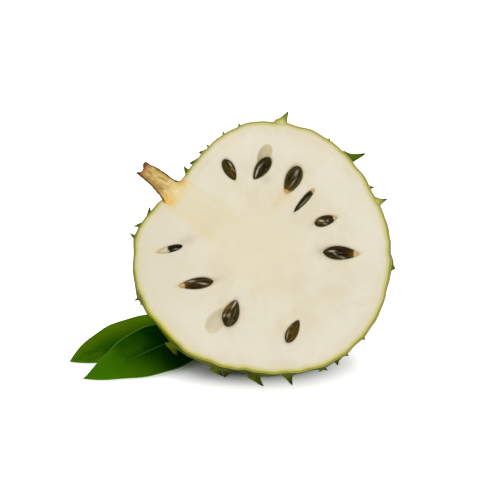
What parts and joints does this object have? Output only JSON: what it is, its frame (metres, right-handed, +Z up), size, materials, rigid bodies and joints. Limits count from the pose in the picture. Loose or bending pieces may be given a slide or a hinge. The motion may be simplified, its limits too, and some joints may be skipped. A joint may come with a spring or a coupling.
{
  "type": "halved soursop",
  "caption": "Halved soursop leaning back on its spiny rind, showing white pulp, dark seeds in their pockets, a sliced stem and leaves tucked under it.",
  "frame": {"origin": "middle of the small flat spot on the rind that the half fruit rests on, at the height of the floor", "axes": "+Z up, -Y the side that the cut face leans back from and looks out to, +X to the right of someone who looks at the cut face, with the leaves on the -X side"},
  "size_m": [0.1759, 0.1166, 0.1339],
  "materials": {
    "rind": "soft leathery green skin with yellow-green edges and darker spine tips",
    "pulp": "moist cream-white flesh with faint radial fibres",
    "stem": "sliced woody stem, tan inside with thin brown bark",
    "seed": "glossy dark brown seed coat with a tan tip",
    "leaf": "glossy dark green leaf with a lighter midrib and margin"
  },
  "bodies": {
    "root": {"rind": "rind", "pulp": "pulp", "stem": "stem", "seed_01": "seed", "seed_02": "seed", "seed_03": "seed", "seed_04": "seed", "seed_05": "seed", "seed_06": "seed", "seed_07": "seed", "seed_08": "seed", "seed_09": "seed", "seed_10": "seed", "leaf_front": "leaf", "leaf_back": "leaf"}
  },
  "joints": []
}
